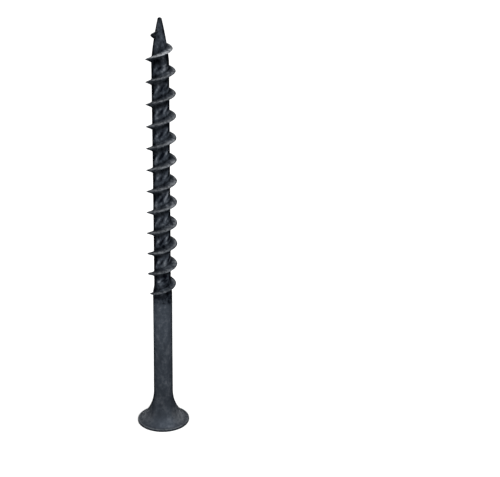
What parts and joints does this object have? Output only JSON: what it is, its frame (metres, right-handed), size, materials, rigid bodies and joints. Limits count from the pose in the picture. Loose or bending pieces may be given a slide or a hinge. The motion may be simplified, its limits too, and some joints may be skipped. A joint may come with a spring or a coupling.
{
  "type": "wood screw",
  "caption": "Coarse-thread wood screw with a flat trumpet-shaped head, cross recess, plain upper shank and sharp point.",
  "frame": {"origin": "on the screw's axis, at the head's flat face, which is the lowest point as it stands on its head", "axes": "+Z along the screw's axis from the head to the point; the recess wings lie along X and Y"},
  "size_m": [0.0078, 0.0078, 0.0619],
  "materials": {
    "wood_screw": "matt black phosphate with a thin film of oil"
  },
  "bodies": {
    "root": {"wood_screw": "wood_screw"}
  },
  "joints": []
}
